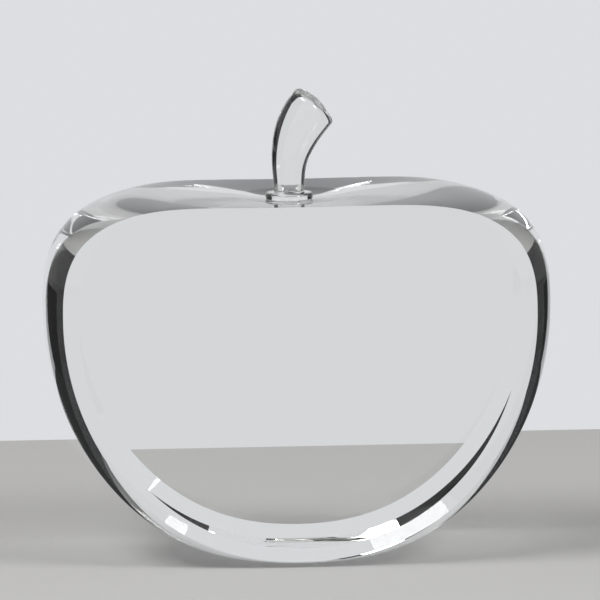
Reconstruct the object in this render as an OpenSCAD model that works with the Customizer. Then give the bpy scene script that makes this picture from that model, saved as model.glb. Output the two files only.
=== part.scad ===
// A clear crystal apple paperweight: a turned apple form, sliced to two flat
// polished faces with bevelled edges, and a bent glass stem bonded into a
// ground seat in the dimple on top.
// Millimetres, +Z up. The origin is the middle of the flat base on the table.

/* [Body] */
// Greatest width of the apple
apple_w = 100; // [90:1:110]
// Distance between the two flat faces
face_gap = 40.4; // [36:0.2:44]
// Height of the widest point above the base
belly_z = 49.5; // [46:0.5:52]
// Height of the rounded crest around the dimple
crest_z = 71.2; // [68:0.2:74]
// Radius of that crest circle, where the shoulders begin
crest_r = 26; // [22:0.5:30]
// Radius of the flat ground base
base_r = 14; // [10:0.5:18]
// Fullness of the lower curve, where 2 is an ellipse
lower_fullness = 1.7; // [1.5:0.02:1.9]
// Fullness of the shoulders, where 2 is an ellipse
shoulder_fullness = 2.65; // [2.2:0.05:3]

/* [Bevels] */
// Width of the bevel, seen from the front
bevel_w = 3; // [1.5:0.1:4]
// Depth of the bevel, measured square to the face
bevel_depth = 1; // [0.6:0.1:2]
// Height where the bevel starts to run out towards the top edge
runout_z = 63; // [58:0.5:66]

/* [Dimple] */
// Depth of the soft dimple below the crest
dimple_depth = 0.9; // [0.6:0.1:2]
// Radius of the polished dish in the dimple
dish_r = 11.4; // [9:0.2:14]
// Depth of that dish below its rim
dish_depth = 0.8; // [0.5:0.1:1.5]
// Depth of the ground seat below the dish
seat_depth = 0.1; // [0.05:0.05:0.5]
// Clearance around the foot of the stem in its seat
seat_clearance = 0.1; // [0.05:0.05:0.3]
// Thickness of the clear adhesive under the foot
bond_t = 0.15; // [0.1:0.05:0.3]

/* [Stem] */
// Place of the stem, to the side of the middle
stem_x = -1.2; // [-3:0.1:3]
// Radius of the round foot
foot_r = 4.7; // [4:0.1:6]
// Height of the round foot
foot_h = 1.4; // [1:0.1:3]
// Radius of the shaft where it rises from the foot
shaft_r = 3; // [2.4:0.1:3.8]
// Radius of the shaft at its cut end
tip_r = 4.9; // [3.5:0.1:5.5]
// Straight rise of the shaft before the bend
rise = 3.8; // [1:0.2:8]
// Radius of the bend at the middle of the shaft
bend_r = 19.4; // [14:0.2:26]
// Angle that the bend turns through
bend_angle = 45; // [20:1:60]
// Size of the rounding around the cut end
tip_round = 1.3; // [0.4:0.1:1.6]

/* [Hidden] */

belly_r = apple_w / 2;
half_gap = face_gap / 2;
seat_r = foot_r + seat_clearance;
dish_rim_z = crest_z - dimple_depth * (1 + cos(180 * dish_r / crest_r)) / 2;
dish_z = dish_rim_z - dish_depth;
seat_z = dish_z - seat_depth;
foot_z = seat_z + bond_t;
shaft_z = foot_z + foot_h;
edge_y = half_gap - bevel_depth;
bevel_centre_z = 45.5;
runout_clearance = 0.4;
runout_end_z = crest_z - runout_clearance;

curve_steps = 20;
cutter_steps = 17;
cutter_inset = 0.05;
ring_sides = 40;
shaft_steps = 26;
dimple_steps = 10;
outer_share = 4;
glass = [0.80, 0.90, 0.92, 0.45];

// Quarter of a superellipse from the edge of the base up to the widest point
function lower_curve(steps) = [
    for (i = [0 : steps])
        let (a = 90 * i / steps)
        [base_r + (belly_r - base_r) * pow(sin(a), 2 / lower_fullness), belly_z * (1 - cos(a))]
];

// Quarter of a superellipse from the widest point over the shoulder to the crest
function shoulder_curve(steps) = [
    for (i = [1 : steps])
        let (a = 90 * i / steps, p = 2 / shoulder_fullness)
        [crest_r + (belly_r - crest_r) * pow(cos(a), p), belly_z + (crest_z - belly_z) * pow(sin(a), p)]
];

// Soft wave from the crest down to the middle of the dimple
function dimple_curve() = [
    for (i = [1 : dimple_steps])
        let (r = crest_r * (1 - i / dimple_steps))
        [r, crest_z - dimple_depth * (1 + cos(180 * r / crest_r)) / 2]
];

// The full apple, turned about the vertical axis
module turned_apple() {
    rotate_extrude($fn = 144)
        polygon(concat(
            [[0, 0]],
            lower_curve(curve_steps),
            shoulder_curve(curve_steps),
            dimple_curve()
        ));
}

// Outline of the turned apple at the outer edge of the bevel, right half
function edge_half() = [
    for (p = concat(lower_curve(cutter_steps), shoulder_curve(cutter_steps)))
        if (p[0] > edge_y) [sqrt(p[0] * p[0] - edge_y * edge_y), p[1]]
];

// Width of the bevel at a height, which runs out to less than nothing below the top edge
function bevel_width(z) = bevel_w * (1 - max(0, (z - runout_z) / (runout_end_z - runout_z)));

// That outline moved in or out, with the bevel's own width times a share
function face_half(share) = [
    for (p = edge_half())
        let (up = p[1] - bevel_centre_z, ray = norm([p[0], up]))
        let (shift = cutter_inset + bevel_width(p[1]) - bevel_w * (1 - share))
        [p[0] * (1 - shift / ray), bevel_centre_z + up * (1 - shift / ray)]
];

// A slab with the outline of a flat face, of a set total thickness
module face_slab(share, thickness) {
    half = face_half(share);
    mirrored = [for (i = [len(half) - 1 : -1 : 0]) [-half[i][0], half[i][1]]];
    rotate([90, 0, 0])
        linear_extrude(thickness, center = true)
        polygon(concat(half, mirrored));
}

// Two flat faces and the bevels around them
module face_cutter() {
    hull() {
        face_slab(1, face_gap);
        face_slab(1 - outer_share, face_gap - 2 * bevel_depth * outer_share);
    }
}

// The polished dish and the ground seat that the stem stands in
module dimple_cut() {
    ball_r = (dish_r * dish_r + dish_depth * dish_depth) / (2 * dish_depth);
    translate([0, 0, dish_z + ball_r])
        sphere(r = ball_r, $fn = 180);
    translate([stem_x, 0, seat_z])
        cylinder(r = seat_r, h = crest_z, $fn = 96);
}

module apple_body() {
    color(glass)
    difference() {
        intersection() {
            turned_apple();
            face_cutter();
        }
        dimple_cut();
    }
}

bend_length = bend_r * bend_angle * PI / 180;
shaft_length = rise + bend_length;

// Middle line of the shaft: straight, then along the bend towards +X
function shaft_centre(s) = s < rise
    ? [0, shaft_z + s]
    : let (a = (s - rise) / bend_r * 180 / PI)
      [bend_r * (1 - cos(a)), shaft_z + rise + bend_r * sin(a)];

// Lean of the shaft at a distance along it
function shaft_lean(s) = max(0, (s - rise) / bend_r * 180 / PI);

// The shaft swells smoothly from the foot to the cut end
function shaft_radius(s) = shaft_r + (tip_r - shaft_r) * (1 - cos(180 * s / shaft_length)) / 2;

// One ring of the shaft, square to its middle line
function shaft_ring(s, r) = let (c = shaft_centre(s), a = shaft_lean(s)) [
    for (k = [0 : ring_sides - 1])
        let (t = 360 * k / ring_sides)
        [c[0] + r * cos(t) * cos(a), r * sin(t), c[1] - r * cos(t) * sin(a)]
];

// Distances and radii of all rings, with a rounded edge at the cut end
function shaft_stations() = concat(
    [for (i = [0 : shaft_steps])
        let (s = (shaft_length - tip_round) * i / shaft_steps)
        [s, shaft_radius(s)]],
    [for (a = [15 : 15 : 90])
        [shaft_length - tip_round * (1 - sin(a)), tip_r - tip_round * (1 - cos(a))]]
);

module shaft() {
    stations = shaft_stations();
    count = len(stations);
    points = [for (st = stations) each shaft_ring(st[0], st[1])];
    sides = [
        for (i = [0 : count - 2], k = [0 : ring_sides - 1])
            let (a = i * ring_sides + k, b = i * ring_sides + (k + 1) % ring_sides)
            each [[a, a + ring_sides, b + ring_sides], [a, b + ring_sides, b]]
    ];
    bottom = [for (k = [0 : ring_sides - 1]) k];
    top = [for (k = [ring_sides - 1 : -1 : 0]) (count - 1) * ring_sides + k];
    polyhedron(points, concat(sides, [bottom, top]), convexity = 4);
}

module stem() {
    color(glass)
    translate([stem_x, 0, 0])
    union() {
        translate([0, 0, foot_z])
            cylinder(r = foot_r, h = foot_h, $fn = 96);
        shaft();
    }
}

module stem_bond() {
    color([0.93, 0.93, 0.86, 0.6])
    translate([stem_x, 0, seat_z])
        cylinder(r = foot_r, h = bond_t, $fn = 96);
}

apple_body();
stem();
stem_bond();
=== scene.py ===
"""A clear crystal apple paperweight with a bonded glass stem, on a pale floor."""

import math

import bmesh
import bpy
from mathutils import Matrix, Vector


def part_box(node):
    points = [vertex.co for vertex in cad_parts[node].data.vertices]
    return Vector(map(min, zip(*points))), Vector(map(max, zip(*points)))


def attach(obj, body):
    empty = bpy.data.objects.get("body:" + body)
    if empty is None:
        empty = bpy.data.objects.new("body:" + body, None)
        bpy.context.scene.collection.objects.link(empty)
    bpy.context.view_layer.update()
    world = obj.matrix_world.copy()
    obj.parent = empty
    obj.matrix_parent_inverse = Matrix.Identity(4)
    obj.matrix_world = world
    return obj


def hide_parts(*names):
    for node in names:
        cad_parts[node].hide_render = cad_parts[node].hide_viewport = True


bl_info = {
    "name": "Crystal Apple Paperweight",
    "version": (1, 0, 0),
    "blender": (4, 5, 0),
    "location": "3D View > Sidebar > Crystal Apple",
    "description": "Builds a sliced crystal apple with a bent glass stem, its glass and its stage",
    "category": "Add Mesh",
}

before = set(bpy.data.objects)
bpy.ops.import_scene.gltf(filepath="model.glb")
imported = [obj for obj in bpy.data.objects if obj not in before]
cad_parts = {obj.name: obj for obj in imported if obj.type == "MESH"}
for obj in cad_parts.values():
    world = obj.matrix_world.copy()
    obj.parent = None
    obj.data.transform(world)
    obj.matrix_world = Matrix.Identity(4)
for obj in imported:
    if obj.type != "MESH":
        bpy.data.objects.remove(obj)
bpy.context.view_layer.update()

MM = 0.001
BODY = "root"
BODY_LOW, BODY_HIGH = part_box("apple_body")
BOND_LOW, BOND_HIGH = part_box("stem_bond")


def length(name, description, millimetres):
    """A length property with its default in millimetres."""
    return bpy.props.FloatProperty(
        name=name, description=description, default=millimetres * MM, min=0.0, precision=5, unit="LENGTH"
    )


def number(name, description, default):
    """A plain number property."""
    return bpy.props.FloatProperty(name=name, description=description, default=default, precision=4)


def angle(name, description, degrees):
    """An angle property with its default in degrees."""
    return bpy.props.FloatProperty(
        name=name, description=description, default=math.radians(degrees), subtype="ANGLE"
    )


def colour(name, description, default):
    """A colour property."""
    return bpy.props.FloatVectorProperty(
        name=name, description=description, default=default, size=3, min=0.0, max=1.0, subtype="COLOR"
    )


class AppleSizes(bpy.types.PropertyGroup):
    """Sizes of the solid crystal apple."""

    belly_r: length("Belly Radius", "Radius at the widest point", 50)
    face_gap: length("Face Gap", "Distance between the two flat faces", (BODY_HIGH.y - BODY_LOW.y) / MM)
    belly_z: length("Belly Height", "Height of the widest point", 49.5)
    crest_z: length("Crest Height", "Height of the crest around the dimple", BODY_HIGH.z / MM)
    crest_r: length("Crest Radius", "Radius of the crest circle", 26)
    base_r: length("Base Radius", "Radius of the flat ground base", 14)
    lower_fullness: number("Lower Fullness", "Fullness of the lower curve, 2 is an ellipse", 1.7)
    shoulder_fullness: number("Shoulder Fullness", "Fullness of the shoulders, 2 is an ellipse", 2.65)
    bevel_w: length("Bevel Width", "Width of the bevels, seen from the front", 3)
    bevel_depth: length("Bevel Depth", "Depth of the bevels, square to the faces", 1)
    bevel_centre_z: length("Bevel Centre", "Height that the bevels are drawn towards", 45.5)
    runout_low: length("Runout Start", "Height where the bevels start to run out", 63)
    runout_high: length("Runout End", "Height where the bevels have run out", 70.8)
    dimple_depth: length("Dimple Depth", "Depth of the soft dimple below the crest", 0.9)
    dish_r: length("Dish Radius", "Radius of the polished dish in the dimple", 11.4)
    dish_depth: length("Dish Depth", "Depth of that dish below its rim", 0.8)


class StemSizes(bpy.types.PropertyGroup):
    """Sizes of the bent glass stem."""

    foot_r: length("Foot Radius", "Radius of the round foot", (BOND_HIGH.x - BOND_LOW.x) / 2 / MM)
    foot_h: length("Foot Height", "Height of the round foot", 1.4)
    lift: length("Foot Lift", "Rise of the foot clear of the glass below it", 0.22)
    shaft_r: length("Shaft Radius", "Radius of the shaft above the foot", 3)
    tip_r: length("Tip Radius", "Radius of the shaft at its cut end", 4.9)
    rise: length("Rise", "Straight rise before the bend", 3.8)
    bend_r: length("Bend Radius", "Radius of the bend", 19.4)
    bend_angle: angle("Bend Angle", "Angle that the bend turns through", 45)
    tip_round: length("Tip Rounding", "Rounding around the cut end", 1.3)
    tip_dome: length("Tip Dome", "Rise of the fire-polished middle of the cut end", 0.7)


class GlassLook(bpy.types.PropertyGroup):
    """Colours and optics of the glass."""

    tint: colour("Crystal Tint", "Colour of the crystal", (0.93, 0.94, 0.93))
    bond_tint: colour("Bond Tint", "Colour of the cured adhesive", (0.96, 0.95, 0.92))
    ior: number("Index", "Refractive index of the crystal", 1.52)
    polish: number("Polish", "Roughness left by the polish", 0.004)
    bond_ior: number("Bond Index", "Index of the adhesive against the crystal around it", 0.987)
    bond_polish: number("Bond Roughness", "Roughness of the adhesive", 0.02)


class StageLook(bpy.types.PropertyGroup):
    """Floor, backdrop and lamps."""

    floor: colour("Floor", "Colour of the floor", (0.5, 0.495, 0.49))
    wall: colour("Wall", "Colour of the backdrop", (0.72, 0.73, 0.75))
    room: number("Room Light", "Level of the even light of the room", 0.4)
    lamp_power: number("Lamp Power", "Power of the large lamp, in watts", 4.5)


class Wire:
    """A node socket that Python arithmetic can use, in shader and geometry trees alike."""

    def __init__(self, tree, socket):
        self.tree = tree
        self.socket = socket

    def math(self, operation, *others):
        """One Math node with this socket as its first input."""
        values = {index: item for index, item in enumerate((self,) + others)}
        return node(self.tree, "ShaderNodeMath", values, operation=operation)

    def __add__(self, other):
        return self.math("ADD", other)

    def __radd__(self, other):
        return self.math("ADD", other)

    def __sub__(self, other):
        return self.math("SUBTRACT", other)

    def __rsub__(self, other):
        return node(self.tree, "ShaderNodeMath", {0: other, 1: self}, operation="SUBTRACT")

    def __mul__(self, other):
        return self.math("MULTIPLY", other)

    def __rmul__(self, other):
        return self.math("MULTIPLY", other)

    def __truediv__(self, other):
        return self.math("DIVIDE", other)

    def __rtruediv__(self, other):
        return node(self.tree, "ShaderNodeMath", {0: other, 1: self}, operation="DIVIDE")

    def __pow__(self, other):
        return self.math("POWER", other)


def node(tree, kind, values=None, output=0, **settings):
    """Adds a node, sets it up and fills its sockets; returns one output as a Wire."""
    made = tree.nodes.new(kind)
    for name, value in settings.items():
        setattr(made, name, value)
    for key, value in (values or {}).items():
        socket = made.inputs[key]
        if isinstance(value, Wire):
            tree.links.new(value.socket, socket)
        else:
            socket.default_value = value
    return Wire(tree, made.outputs[output])


def sine(wire):
    """Sine of an angle in radians."""
    return wire.math("SINE")


def cosine(wire):
    """Cosine of an angle in radians."""
    return wire.math("COSINE")


def root(wire):
    """Square root, with negative values held at zero."""
    return wire.math("MAXIMUM", 0.0).math("SQRT")


def ramp(wire, start, end):
    """Runs from 0 at start to 1 at end, and holds there."""
    low = ((wire - start) / (end - start)).math("MAXIMUM", 0.0)
    return low.math("MINIMUM", 1.0)


def point(tree, x, y, z):
    """A place from its three coordinates."""
    return node(tree, "ShaderNodeCombineXYZ", {0: x, 1: y, 2: z})


MERGE_DISTANCE = 0.002 * MM


def surface(name, sizes, columns, rows, shape, material, crease):
    """A closed surface: a grid whose points are placed by a rule, as one finished mesh.

    shape gets the tree, the two grid coordinates from 0 to 1 and the named inputs.
    Edges that bend by more than the crease angle stay sharp.
    """
    tree = bpy.data.node_groups.new(name, "GeometryNodeTree")
    tree.interface.new_socket("Geometry", in_out="OUTPUT", socket_type="NodeSocketGeometry")
    sockets = {}
    for key, value in sizes.items():
        item = tree.interface.new_socket(key, in_out="INPUT", socket_type="NodeSocketFloat")
        item.default_value = value
        sockets[key] = item.identifier
    group = tree.nodes.new("NodeGroupInput")
    inputs = {key: Wire(tree, group.outputs[index]) for index, key in enumerate(sizes)}
    grid = node(
        tree,
        "GeometryNodeMeshGrid",
        {"Size X": 1.0, "Size Y": 1.0, "Vertices X": columns, "Vertices Y": rows},
    )
    place = node(tree, "GeometryNodeInputPosition")
    u = node(tree, "ShaderNodeSeparateXYZ", {0: place}, output=0) + 0.5
    v = node(tree, "ShaderNodeSeparateXYZ", {0: place}, output=1) + 0.5
    spot = shape(tree, u, v, inputs)
    placed = node(tree, "GeometryNodeSetPosition", {"Geometry": grid, "Position": spot})
    merged = node(tree, "GeometryNodeMergeByDistance", {"Geometry": placed, "Distance": MERGE_DISTANCE})
    smooth = node(tree, "GeometryNodeSetShadeSmooth", {"Geometry": merged}, domain="FACE")
    bend = node(tree, "GeometryNodeInputMeshEdgeAngle")
    sharp = node(
        tree,
        "FunctionNodeCompare",
        {0: bend, 1: crease},
        data_type="FLOAT",
        operation="GREATER_THAN",
    )
    creased = node(
        tree,
        "GeometryNodeSetShadeSmooth",
        {"Geometry": smooth, "Selection": sharp, "Shade Smooth": False},
        domain="EDGE",
    )
    real = node(tree, "GeometryNodeRealizeInstances", {"Geometry": creased})
    painted = node(tree, "GeometryNodeSetMaterial", {"Geometry": real, "Material": material})
    out = tree.nodes.new("NodeGroupOutput")
    tree.links.new(painted.socket, out.inputs[0])

    carrier = bpy.data.objects.new(name, bpy.data.meshes.new(name))
    bpy.context.scene.collection.objects.link(carrier)
    modifier = carrier.modifiers.new("Shape", "NODES")
    modifier.node_group = tree
    for key, value in sizes.items():
        modifier[sockets[key]] = value
    graph = bpy.context.evaluated_depsgraph_get()
    mesh = bpy.data.meshes.new_from_object(carrier.evaluated_get(graph), depsgraph=graph)
    carrier.modifiers.clear()
    carrier.data = mesh
    mesh.name = name
    return carrier


def face_outwards(piece):
    """Turns all faces of a closed mesh outwards."""
    work = bmesh.new()
    work.from_mesh(piece.data)
    bmesh.ops.recalc_face_normals(work, faces=work.faces)
    work.to_mesh(piece.data)
    work.free()


# Crystal apple

OUTLINE_STEPS = 1201
DEPTH_STEPS = 61
# Shares of half the outline where the base, the lower curve and the shoulder end
BASE_SHARE = 0.14
LOWER_SHARE = 0.52
SHOULDER_SHARE = 0.82
# Rows at each end that lie on a flat face
FACE_ROWS = 2.0
BODY_CREASE = math.radians(9.0)


def apple_shape(tree, u, v, size):
    """Position on the sliced apple: u runs round the outline, v from the front face to the back."""
    # s runs from the middle of the base to the middle of the top, on each side
    s = 1.0 - (2.0 * u - 1.0).math("ABSOLUTE")
    side = (0.5 - u).math("SIGN")
    base_part = ramp(s, 0.0, BASE_SHARE)
    shoulder = ramp(s, LOWER_SHARE, SHOULDER_SHARE) * (math.pi / 2)
    top_part = ramp(s, SHOULDER_SHARE, 1.0)
    lower_power = 2.0 / size["Lower Fullness"]
    shoulder_power = 2.0 / size["Shoulder Fullness"]
    lower_width = size["Belly Radius"] - size["Base Radius"]
    shoulder_rise = (size["Crest Height"] - size["Belly Height"]) * sine(shoulder) ** shoulder_power

    # Bevels run out towards the top edge
    runout = ramp(size["Belly Height"] + shoulder_rise, size["Runout Start"], size["Runout End"])
    left = 1.0 - runout
    bevel_w = size["Bevel Width"] * left
    bevel_depth = size["Bevel Depth"] * left

    # Rows: middle of the front face, inner edge of the bevel, rim, inner edge, middle
    row = v * (DEPTH_STEPS - 1)
    on_rim = ramp(row, FACE_ROWS, DEPTH_STEPS - 1.0 - FACE_ROWS)
    half = size["Face Gap"] / 2.0
    rim_y = (half - bevel_depth) * (2.0 * on_rim - 1.0)

    # The lower curve starts where the turned form first reaches this row
    first_share = ((rim_y.math("ABSOLUTE") - size["Base Radius"]) / lower_width).math("MAXIMUM", 0.0)
    first = (first_share ** (size["Lower Fullness"] / 2.0)).math("ARCSINE")
    lower = first + (math.pi / 2 - first) * ramp(s, BASE_SHARE, LOWER_SHARE)
    shoulder_in = 1.0 - cosine(shoulder).math("MAXIMUM", 0.0) ** shoulder_power
    reach = size["Base Radius"] + lower_width * sine(lower) ** lower_power
    reach = reach - (size["Belly Radius"] - size["Crest Radius"]) * shoulder_in
    rise = size["Belly Height"] * (1.0 - cosine(lower)) + shoulder_rise
    from_end = row.math("MINIMUM", (DEPTH_STEPS - 1) - row)
    on_face = 1.0 - ramp(from_end, FACE_ROWS - 1.0, FACE_ROWS)
    at_middle = 1.0 - ramp(from_end, 0.0, FACE_ROWS - 1.0)
    end_sign = (v - 0.5).math("SIGN")
    y = rim_y + (end_sign * half - rim_y) * on_face

    x = root(reach * reach - rim_y * rim_y) * base_part * (1.0 - top_part)
    over_top = s.math("GREATER_THAN", LOWER_SHARE)
    r = root(x * x + rim_y * rim_y)
    wave = (1.0 + cosine(r.math("MINIMUM", size["Crest Radius"]) / size["Crest Radius"] * math.pi)) / 2.0
    rim_wave = (1.0 + cosine(size["Dish Radius"] / size["Crest Radius"] * math.pi)) / 2.0
    bowl = 1.0 - (r / size["Dish Radius"]) ** 2.0
    in_dish = rim_wave * size["Dimple Depth"] + bowl * size["Dish Depth"]
    drop = (wave * size["Dimple Depth"]).math("MAXIMUM", in_dish)
    z = rise - drop * over_top

    # Inner edge of the bevel: drawn in towards the middle of the face
    up = z - size["Bevel Centre"]
    ray = root(x * x + up * up)
    shrink = (1.0 - bevel_w / ray * on_face) * (1.0 - at_middle)
    return point(tree, x * side * shrink, y, size["Bevel Centre"] + up * shrink)


class CRYSTAL_OT_apple(bpy.types.Operator):
    """Build the solid crystal apple"""

    bl_idname = "crystal_apple.apple"
    bl_label = "Apple"

    def execute(self, context):
        sizes = context.scene.apple_sizes
        inputs = {
            "Belly Radius": sizes.belly_r,
            "Face Gap": sizes.face_gap,
            "Belly Height": sizes.belly_z,
            "Crest Height": sizes.crest_z,
            "Crest Radius": sizes.crest_r,
            "Base Radius": sizes.base_r,
            "Lower Fullness": sizes.lower_fullness,
            "Shoulder Fullness": sizes.shoulder_fullness,
            "Bevel Width": sizes.bevel_w,
            "Bevel Depth": sizes.bevel_depth,
            "Bevel Centre": sizes.bevel_centre_z,
            "Runout Start": sizes.runout_low,
            "Runout End": sizes.runout_high,
            "Dimple Depth": sizes.dimple_depth,
            "Dish Radius": sizes.dish_r,
            "Dish Depth": sizes.dish_depth,
        }
        look = context.scene.glass_look
        material = crystal("crystal", look.tint, look.ior, look.polish)
        piece = surface("apple", inputs, OUTLINE_STEPS, DEPTH_STEPS, apple_shape, material, BODY_CREASE)
        face_outwards(piece)
        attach(piece, BODY)
        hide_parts("apple_body")
        return {"FINISHED"}


# Stem

RING_STEPS = 97
STEM_STEPS = 121
# Shares of the profile where the underside, the foot, the shaft and the rounded edge end
FOOT_UNDER = 0.06
FOOT_SIDE = 0.24
SHAFT_END = 0.86
TIP_EDGE = 0.95
# Power of the foot's profile, where 1 is a quarter circle
FOOT_SQUARENESS = 0.35
STEM_CREASE = math.radians(40.0)


def stem_shape(tree, u, v, size):
    """Position on the stem: u runs round it, v from under the foot to the cut end."""
    under = ramp(v, 0.0, FOOT_UNDER)
    foot = ramp(v, FOOT_UNDER, FOOT_SIDE) * (math.pi / 2)
    shaft = ramp(v, FOOT_SIDE, SHAFT_END)
    tip = ramp(v, SHAFT_END, TIP_EDGE) * (math.pi / 2)
    cap = ramp(v, TIP_EDGE, 1.0)

    bend_length = size["Bend Radius"] * size["Bend Angle"]
    shaft_length = size["Rise"] + bend_length - size["Tip Rounding"]
    foot_out = cosine(foot).math("MAXIMUM", 0.0) ** FOOT_SQUARENESS
    radius = size["Shaft Radius"] + (size["Foot Radius"] - size["Shaft Radius"]) * foot_out
    swell = (1.0 - cosine(shaft * math.pi)) / 2.0
    radius = radius + (size["Tip Radius"] - size["Shaft Radius"]) * swell
    radius = radius - size["Tip Rounding"] * (1.0 - cosine(tip))
    radius = radius * under * (1.0 - cap)

    foot_rise = size["Foot Height"] * sine(foot) ** FOOT_SQUARENESS
    dome = size["Tip Dome"] * (1.0 - (1.0 - cap) ** 2.0)
    along = shaft * shaft_length + size["Tip Rounding"] * sine(tip) + dome
    lean = ((along - size["Rise"]).math("MAXIMUM", 0.0)) / size["Bend Radius"]
    straight = along.math("MINIMUM", size["Rise"])
    centre_x = size["Bend Radius"] * (1.0 - cosine(lean))
    centre_z = size["Seat Height"] + foot_rise + straight + size["Bend Radius"] * sine(lean)

    turn = u * (2.0 * math.pi)
    out = radius * cosine(turn)
    return point(
        tree,
        size["Seat Place"] + centre_x + out * cosine(lean),
        radius * sine(turn),
        centre_z - out * sine(lean),
    )


class CRYSTAL_OT_stem(bpy.types.Operator):
    """Build the bent glass stem with its round foot"""

    bl_idname = "crystal_apple.stem"
    bl_label = "Stem"

    def execute(self, context):
        sizes = context.scene.stem_sizes
        inputs = {
            "Foot Radius": sizes.foot_r,
            "Foot Height": sizes.foot_h - sizes.lift,
            "Shaft Radius": sizes.shaft_r,
            "Tip Radius": sizes.tip_r,
            "Rise": sizes.rise,
            "Bend Radius": sizes.bend_r,
            "Bend Angle": sizes.bend_angle,
            "Tip Rounding": sizes.tip_round,
            "Tip Dome": sizes.tip_dome,
            "Seat Height": BOND_HIGH.z + sizes.lift,
            "Seat Place": (BOND_LOW.x + BOND_HIGH.x) / 2,
        }
        look = context.scene.glass_look
        material = crystal("stem glass", look.tint, look.ior, look.polish)
        piece = surface("stem", inputs, RING_STEPS, STEM_STEPS, stem_shape, material, STEM_CREASE)
        face_outwards(piece)
        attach(piece, BODY)
        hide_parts("stem")
        return {"FINISHED"}


class CRYSTAL_OT_bond(bpy.types.Operator):
    """Give the cured adhesive under the stem its finish"""

    bl_idname = "crystal_apple.bond"
    bl_label = "Stem Bond"

    def execute(self, context):
        look = context.scene.glass_look
        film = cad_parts["stem_bond"]
        film.data.materials.clear()
        film.data.materials.append(
            crystal("cured adhesive", look.bond_tint, look.bond_ior, look.bond_polish)
        )
        return {"FINISHED"}


# Materials

# Places of the colour sockets on a Mix node
COLOUR_A = 6
COLOUR_B = 7
COLOUR_RESULT = 2

CLOUD_SCALE = 90.0
CLOUD_DETAIL = 2.0
CLOUD_SHADE = 0.995
WEAR_SCALE = 900.0
WEAR_DETAIL = 3.0
WEAR_START = 0.45
WEAR_END = 0.8
PAINT_SCALE = 6.0
PAINT_DETAIL = 4.0
PAINT_ROUGHNESS = 0.9


def new_material(name):
    """A material with an empty tree."""
    material = bpy.data.materials.new(name)
    material.use_nodes = True
    material.node_tree.nodes.clear()
    return material, material.node_tree


def finish_material(tree, shader):
    """Leads the shader to the material's output."""
    out = tree.nodes.new("ShaderNodeOutputMaterial")
    tree.links.new(shader.socket, out.inputs["Surface"])


def noise(tree, scale, detail):
    """Noise in the object's own space."""
    spot = node(tree, "ShaderNodeTexCoord", output="Object")
    return node(tree, "ShaderNodeTexNoise", {"Vector": spot, "Scale": scale, "Detail": detail})


def blend(tree, factor, first, second):
    """Mixes two colours by a factor."""
    return node(
        tree,
        "ShaderNodeMix",
        {"Factor": factor, COLOUR_A: (*first, 1.0), COLOUR_B: (*second, 1.0)},
        output=COLOUR_RESULT,
        data_type="RGBA",
    )


def crystal(name, tint, ior, polish):
    """Polished clear glass with a faint cloud in its tint and its polish."""
    material, tree = new_material(name)
    deeper = tuple(c * CLOUD_SHADE for c in tint)
    shade = blend(tree, noise(tree, CLOUD_SCALE, CLOUD_DETAIL), tint, deeper)
    roughness = polish * ramp(noise(tree, WEAR_SCALE, WEAR_DETAIL), WEAR_START, WEAR_END)
    shader = node(
        tree,
        "ShaderNodeBsdfPrincipled",
        {"Base Color": shade, "Roughness": roughness, "IOR": ior, "Transmission Weight": 1.0},
    )
    finish_material(tree, shader)
    return material


def matt(name, tint, variation):
    """A plain matt paint with a faint variation."""
    material, tree = new_material(name)
    dim = tuple(c * (1.0 - variation) for c in tint)
    shade = blend(tree, noise(tree, PAINT_SCALE, PAINT_DETAIL), tint, dim)
    shader = node(tree, "ShaderNodeBsdfPrincipled", {"Base Color": shade, "Roughness": PAINT_ROUGHNESS})
    finish_material(tree, shader)
    return material


# Stage

# The camera, fitted to the outline in the photo
CAMERA_DISTANCE = 1600 * MM
CAMERA_ELEVATION = math.radians(8.79)
CAMERA_AZIMUTH = math.radians(2.22)
CAMERA_ROLL = math.radians(-0.75)
CAMERA_TARGET = (0.66 * MM, 0.0, 49.8 * MM)
CAMERA_CLIP = 10 * MM
SENSOR_WIDTH = 36.0
IMAGE_PIXELS = 600
FOCAL_PIXELS = 8134

# The floor, a hair below the apple
FLOOR_Z = -0.15 * MM
STAGE_SIDE = 900 * MM
STAGE_NEAR = -1400 * MM
STAGE_FAR = 134 * MM
FLOOR_VARIATION = 0.04

# The black cards, with angles turned from straight behind the apple
FLAG_REACH = 180 * MM
FLAG_START_NEAR = 25 * MM
FLAG_START_FAR = 46 * MM
FLAG_FIRST = math.radians(38)
FLAG_FLAT_LAST = math.radians(84)
FLAG_LAST = math.radians(128)
FLAG_TOP = 200 * MM
FLAG_LIFT = 0.1 * MM
FLAG_PAINT = (0.012, 0.012, 0.013)
FLAG_VARIATION = 0.1

# The lamps, in metres
LAMP_AIM = (0.0, 0.0, 0.04)
KEY_PLACE = (-0.45, -0.25, 0.75)
KEY_SIZE = (0.5, 0.35)
FILL_PLACE = (0.55, -0.35, 0.6)
FILL_SIZE = (0.3, 0.3)
FILL_SHARE = 0.6


def plane(name, corners, material):
    """A flat rectangle from its four corners."""
    mesh = bpy.data.meshes.new(name)
    mesh.from_pydata(corners, [], [(0, 1, 2, 3)])
    mesh.materials.append(material)
    made = bpy.data.objects.new(name, mesh)
    bpy.context.scene.collection.objects.link(made)
    return made


def floor(tint):
    """The pale floor, which ends a little way behind the apple."""
    corners = [
        (-STAGE_SIDE, STAGE_NEAR, FLOOR_Z),
        (STAGE_SIDE, STAGE_NEAR, FLOOR_Z),
        (STAGE_SIDE, STAGE_FAR, FLOOR_Z),
        (-STAGE_SIDE, STAGE_FAR, FLOOR_Z),
    ]
    plane("floor", corners, matt("floor paint", tint, FLOOR_VARIATION))


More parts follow.
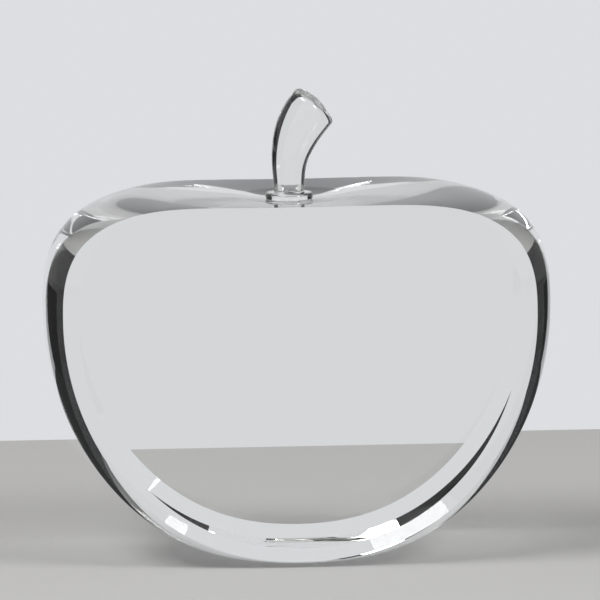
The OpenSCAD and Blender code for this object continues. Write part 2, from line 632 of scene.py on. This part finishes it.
def lamp(name, place, power, size):
    """A rectangular lamp that points at the apple."""
    data = bpy.data.lights.new(name, "AREA")
    data.shape = "RECTANGLE"
    data.size, data.size_y = size
    data.energy = power
    made = bpy.data.objects.new(name, data)
    made.location = place
    made.rotation_euler = (Vector(LAMP_AIM) - Vector(place)).to_track_quat("-Z", "Y").to_euler()
    bpy.context.scene.collection.objects.link(made)


def flags(side):
    """Two black cards at one side, one upright and one flat, that only the glass shows."""
    angles = (FLAG_FIRST, FLAG_FLAT_LAST, FLAG_LAST)
    spots = [(FLAG_REACH * math.sin(a) * side, FLAG_REACH * math.cos(a)) for a in angles]
    first, flat_last, last = spots
    foot = FLOOR_Z + FLAG_LIFT
    upright = [(*first, foot), (*last, foot), (*last, FLAG_TOP), (*first, FLAG_TOP)]
    near = [(FLAG_START_NEAR * side, flat_last[1]), (FLAG_START_FAR * side, first[1])]
    flat = [(*spot, foot) for spot in [first, flat_last] + near]
    for corners in (upright, flat):
        card = plane("black flag", corners, matt("black flag paint", FLAG_PAINT, FLAG_VARIATION))
        card.visible_camera = False
        card.visible_diffuse = False
        card.visible_shadow = False


def backdrop(tint, room):
    """The world: a pale backdrop for the camera and the glass, and a plain level of room light."""
    world = bpy.data.worlds.new("backdrop")
    bpy.context.scene.world = world
    world.use_nodes = True
    tree = world.node_tree
    tree.nodes.clear()
    seen = node(tree, "ShaderNodeLightPath", output="Is Camera Ray")
    for kind in ("Is Glossy Ray", "Is Transmission Ray"):
        seen = seen.math("MAXIMUM", node(tree, "ShaderNodeLightPath", output=kind))
    shade = blend(tree, seen, (room, room, room), tint)
    glow = node(tree, "ShaderNodeBackground", {"Color": shade, "Strength": 1.0})
    out = tree.nodes.new("ShaderNodeOutputWorld")
    tree.links.new(glow.socket, out.inputs["Surface"])


def camera(scene):
    """The camera at the photo's viewing angle."""
    data = bpy.data.cameras.new("camera")
    data.sensor_width = SENSOR_WIDTH
    data.lens = FOCAL_PIXELS * data.sensor_width / IMAGE_PIXELS
    data.clip_start = CAMERA_CLIP
    made = bpy.data.objects.new("camera", data)
    level = math.cos(CAMERA_ELEVATION)
    forward = Vector(
        (
            math.sin(CAMERA_AZIMUTH) * level,
            math.cos(CAMERA_AZIMUTH) * level,
            -math.sin(CAMERA_ELEVATION),
        )
    )
    place = Vector(CAMERA_TARGET) - forward * CAMERA_DISTANCE
    turn = forward.to_track_quat("-Z", "Y").to_matrix() @ Matrix.Rotation(CAMERA_ROLL, 3, "Z")
    made.matrix_world = Matrix.Translation(place) @ turn.to_4x4()
    scene.collection.objects.link(made)
    scene.camera = made


class CRYSTAL_OT_stage(bpy.types.Operator):
    """Build the floor, black cards, lamps, backdrop and camera"""

    bl_idname = "crystal_apple.stage"
    bl_label = "Stage"

    def execute(self, context):
        scene = context.scene
        look = scene.stage_look
        floor(tuple(look.floor))
        for side in (-1, 1):
            flags(side)
        lamp("key lamp", KEY_PLACE, look.lamp_power, KEY_SIZE)
        lamp("fill lamp", FILL_PLACE, look.lamp_power * FILL_SHARE, FILL_SIZE)
        backdrop(tuple(look.wall), look.room)
        camera(scene)
        scene.view_settings.view_transform = "Standard"
        return {"FINISHED"}


class CRYSTAL_PT_panel(bpy.types.Panel):
    """Sizes and build steps of the crystal apple"""

    bl_idname = "CRYSTAL_PT_panel"
    bl_label = "Crystal Apple"
    bl_space_type = "VIEW_3D"
    bl_region_type = "UI"
    bl_category = "Crystal Apple"

    def draw(self, context):
        for operator in OPERATORS:
            self.layout.operator(operator.bl_idname)
        for name in GROUPS:
            box = self.layout.box()
            group = getattr(context.scene, name)
            for key in group.bl_rna.properties.keys():
                if key not in ("rna_type", "name"):
                    box.prop(group, key)


OPERATORS = (CRYSTAL_OT_apple, CRYSTAL_OT_stem, CRYSTAL_OT_bond, CRYSTAL_OT_stage)
GROUPS = {
    "apple_sizes": AppleSizes,
    "stem_sizes": StemSizes,
    "glass_look": GlassLook,
    "stage_look": StageLook,
}


def register():
    for group in GROUPS.values():
        bpy.utils.register_class(group)
    for name, group in GROUPS.items():
        setattr(bpy.types.Scene, name, bpy.props.PointerProperty(type=group))
    for operator in OPERATORS:
        bpy.utils.register_class(operator)
    bpy.utils.register_class(CRYSTAL_PT_panel)


def unregister():
    bpy.utils.unregister_class(CRYSTAL_PT_panel)
    for operator in reversed(OPERATORS):
        bpy.utils.unregister_class(operator)
    for name, group in reversed(GROUPS.items()):
        delattr(bpy.types.Scene, name)
        bpy.utils.unregister_class(group)


def main():
    register()
    bpy.ops.crystal_apple.apple()
    bpy.ops.crystal_apple.stem()
    bpy.ops.crystal_apple.bond()
    bpy.ops.crystal_apple.stage()


if __name__ == "__main__":
    main()
